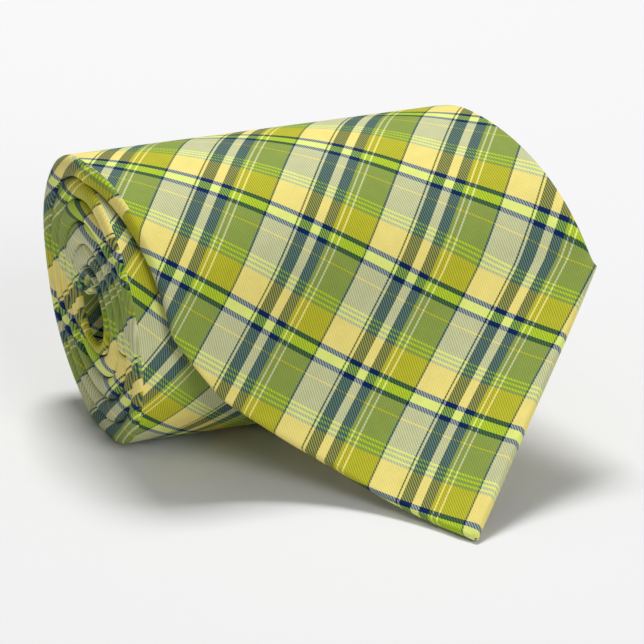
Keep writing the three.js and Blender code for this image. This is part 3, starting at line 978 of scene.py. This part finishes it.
class NECKTIE_OT_rolled_cloth(bpy.types.Operator):
    """Add the rolled cloth: the rest of the blade, the neck and the tail"""

    bl_idname = "necktie.rolled_cloth"
    bl_label = "Rolled Cloth"

    def execute(self, context):
        shop = Workshop(context)
        z = shop.sizes
        lengths = [
            ("rolled_blade_cloth", "blade_cover", shop.split + CUT_GAP, z.neck_start - SEAM_GAP, 44),
            ("neck_cloth", "neck_cover", z.neck_start + SEAM_GAP, z.neck_end - SEAM_GAP, 24),
            ("tail_cloth", "tail_cover", z.neck_end + SEAM_GAP, z.tie_length - TAIL_END_GAP, 24),
        ]
        for name, node, start, end, front in lengths:
            columns = envelope_columns(panel=8, fold=8, front=front)
            piece = shop.cover(name, start, end, CLOTH_STEP, columns)
            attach(piece, ROLL_BODY)
            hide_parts(node)
            width, long, area = shop.cut_size(start, end)
        return {"FINISHED"}


class NECKTIE_OT_canvas(bpy.types.Operator):
    """Add the interlining inside the blade and the tail"""

    bl_idname = "necktie.canvas"
    bl_label = "Interlining"

    def execute(self, context):
        shop = Workshop(context)
        z = shop.sizes
        depth = z.cloth + CANVAS_DEPTH_GAP
        stuff = fibre_material("Canvas", shop.colours.canvas, scale=900, contrast=0.14, roughness=0.95)
        neck_middle = (z.neck_start + z.neck_end) / 2
        tail_end = z.tie_length - CANVAS_SETBACK
        lengths = [
            ("blade_canvas", "blade_end_interlining", CANVAS_SETBACK, shop.split, bend_at_crest),
            ("rolled_canvas", "blade_interlining", shop.split + CUT_GAP, neck_middle - SEAM_GAP,
             stay_in_roll),
            ("tail_canvas", "tail_interlining", neck_middle, tail_end, stay_in_roll),
        ]
        for name, node, start, end, hold in lengths:
            piece = shop.layer(name, start, end, CANVAS_STEP, depth, z.canvas, CANVAS_MARGIN, stuff)
            hold(piece)
            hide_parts(node)
            width, long, area = shop.layer_size(start, end, CANVAS_MARGIN)
        return {"FINISHED"}


class NECKTIE_OT_lining(bpy.types.Operator):
    """Add the tippings that line the two points"""

    bl_idname = "necktie.lining"
    bl_label = "Tippings"

    def execute(self, context):
        shop = Workshop(context)
        z = shop.sizes
        depth = z.cloth + z.canvas + LINING_DEPTH_GAP
        stuff = fibre_material("Lining satin", shop.colours.lining, scale=2500, contrast=0.06,
                               roughness=0.32, sheen=0.2)
        tail_start = z.tie_length - z.tail_lining
        tail_end = z.tie_length - LINING_SETBACK
        lengths = [
            ("blade_tipping_satin", "blade_tipping", LINING_SETBACK, z.blade_lining, bend_at_crest),
            ("tail_tipping_satin", "tail_tipping", tail_start, tail_end, stay_in_roll),
        ]
        for name, node, start, end, hold in lengths:
            piece = shop.layer(name, start, end, LINING_STEP, depth, z.lining, LINING_MARGIN, stuff)
            hold(piece)
            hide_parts(node)
            width, long, area = shop.layer_size(start, end, LINING_MARGIN)
        return {"FINISHED"}


class NECKTIE_OT_keeper(bpy.types.Operator):
    """Add the keeper loop and the blank label on the back of the blade"""

    bl_idname = "necktie.keeper"
    bl_label = "Keeper Loop and Label"

    def execute(self, context):
        shop = Workshop(context)
        z = shop.sizes
        loop = self.patch(shop, "keeper_loop_cloth", z.keeper_place, z.keeper_width, z.keeper_span,
                          plaid_material(shop.colours))
        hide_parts("keeper_loop")
        label_stuff = fibre_material("Label satin", shop.colours.label, scale=2200, contrast=0.05,
                                     roughness=0.4, sheen=0.1)
        label = self.patch(shop, "blank_label", z.label_place, z.label_length, z.label_width,
                           label_stuff)
        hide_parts("care_label")
        return {"FINISHED"}

    def patch(self, shop, name, start, long, wide, material):
        """A small flat piece on the back of the tie."""
        def carry(across, s):
            rounded = PATCH_ROUNDING * np.sin(np.pi * (s - start) / long)
            return shop.on_back(across, s, PATCH_GAP + rounded)

        def chart(across, s, places):
            return plain_chart(np.stack(shop.pattern.threads(across, s, shop.colours.repeat), -1))

        columns = np.linspace(wide / 2, -wide / 2, PATCH_COLUMNS)
        rows = rows_along(start, start + long, PATCH_STEP)
        piece = mapped_grid(name, columns, rows, material, carry, chart)
        give_thickness(piece, PATCH_THICKNESS, side=OUTWARD)
        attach(piece, ROLL_BODY)
        return piece


class NECKTIE_OT_threads(bpy.types.Operator):
    """Add the slip stitch, the seams of the neck, the bar tacks and the keeper's tacks"""

    bl_idname = "necktie.threads"
    bl_label = "Threads"

    def execute(self, context):
        self.shop = Workshop(context)
        z = self.shop.sizes
        self.stuff = fibre_material("Sewing thread", self.shop.colours.thread, scale=6000,
                                    contrast=0.25, roughness=0.5, sheen=0.1)
        self.add("slip_stitch", "slip_stitch_thread", self.slip_stitch())
        self.add("blade_seam_thread", "blade_join_thread", self.seam(z.neck_start))
        self.add("tail_seam_thread", "tail_join_thread", self.seam(z.neck_end))
        tail_tack = z.tie_length - z.tail_opening - TACK_LENGTH
        self.add("blade_tack", "blade_bar_tack",
                 self.zigzag(z.blade_opening, TACK_LENGTH, 0, TACK_WIDTH))
        self.add("tail_tack", "tail_bar_tack", self.zigzag(tail_tack, TACK_LENGTH, 0, TACK_WIDTH))
        beside = z.keeper_span / 2 + KEEPER_TACK_GAP
        for side, middle in (("left", -beside), ("right", beside)):
            tack = self.zigzag(z.keeper_place, z.keeper_width, middle, KEEPER_TACK_WIDTH)
            self.add("keeper_stitches_" + side, "keeper_tack_" + side, tack)
        return {"FINISHED"}

    def add(self, name, node, points):
        """Adds one thread in the place of its plain solid."""
        piece = thread_along(name, points, self.shop.sizes.thread, self.stuff)
        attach(piece, ROLL_BODY)
        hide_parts(node)

    def slip_stitch(self):
        """In and out along the back seam."""
        z = self.shop.sizes
        start = z.blade_opening + STITCH_SETBACK
        end = z.tie_length - z.tail_opening - STITCH_SETBACK
        s = rows_along(start, end, STITCH / 6)
        phase = 2 * math.pi * s / STITCH
        depth = STITCH_DEPTH * np.sin(phase) - STITCH_DEPTH
        return self.shop.on_back(STITCH_SWAY * np.cos(phase), s, depth)

    def seam(self, s):
        """Straight across the tie, inside its thickness."""
        left, right = self.shop.pattern.edges(np.array(s))
        x = np.linspace(left + SEAM_MARGIN, right - SEAM_MARGIN, SEAM_STATIONS)
        return self.shop.winding.place(x, s, -SEAM_DEPTH)

    def zigzag(self, start, long, middle, wide):
        """Close stitches to and fro on the tie's back."""
        stitches = max(int(long / ZIGZAG_STEP), ZIGZAG_LEAST)
        count = np.arange(2 * stitches + 1)
        across = middle + wide * (count % 2 - 0.5)
        s = start + long * count / count[-1]
        return self.shop.on_back(across, s, ZIGZAG_GAP)


class NECKTIE_PT_panel(bpy.types.Panel):
    """Sizes, colours and pieces of the necktie"""

    bl_label = "Rolled Necktie"
    bl_space_type = "VIEW_3D"
    bl_region_type = "UI"
    bl_category = "Necktie"

    def draw(self, context):
        """Lists the operators, then the settings."""
        for operator in OPERATORS:
            self.layout.operator(operator.bl_idname)
        scene = context.scene
        for settings in (scene.necktie_sizes, scene.necktie_colours, scene.necktie_studio):
            box = self.layout.box()
            for name in settings.__annotations__:
                box.prop(settings, name)


OPERATORS = (
    NECKTIE_OT_stage,
    NECKTIE_OT_rolled_cloth,
    NECKTIE_OT_blade_cloth,
    NECKTIE_OT_canvas,
    NECKTIE_OT_lining,
    NECKTIE_OT_keeper,
    NECKTIE_OT_threads,
)
CLASSES = (TieSizes, TieColours, StudioSettings, *OPERATORS, NECKTIE_PT_panel)


def register():
    """Registers the classes and the settings."""
    for each in CLASSES:
        bpy.utils.register_class(each)
    bpy.types.Scene.necktie_sizes = PointerProperty(type=TieSizes)
    bpy.types.Scene.necktie_colours = PointerProperty(type=TieColours)
    bpy.types.Scene.necktie_studio = PointerProperty(type=StudioSettings)


def unregister():
    """Removes the settings and the classes."""
    del bpy.types.Scene.necktie_studio
    del bpy.types.Scene.necktie_colours
    del bpy.types.Scene.necktie_sizes
    for each in reversed(CLASSES):
        bpy.utils.unregister_class(each)


def main():
    """Registers the settings and builds the whole scene."""
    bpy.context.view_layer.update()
    register()
    for operator in OPERATORS:
        group, name = operator.bl_idname.split(".")
        getattr(getattr(bpy.ops, group), name)()


if __name__ == "__main__":
    main()
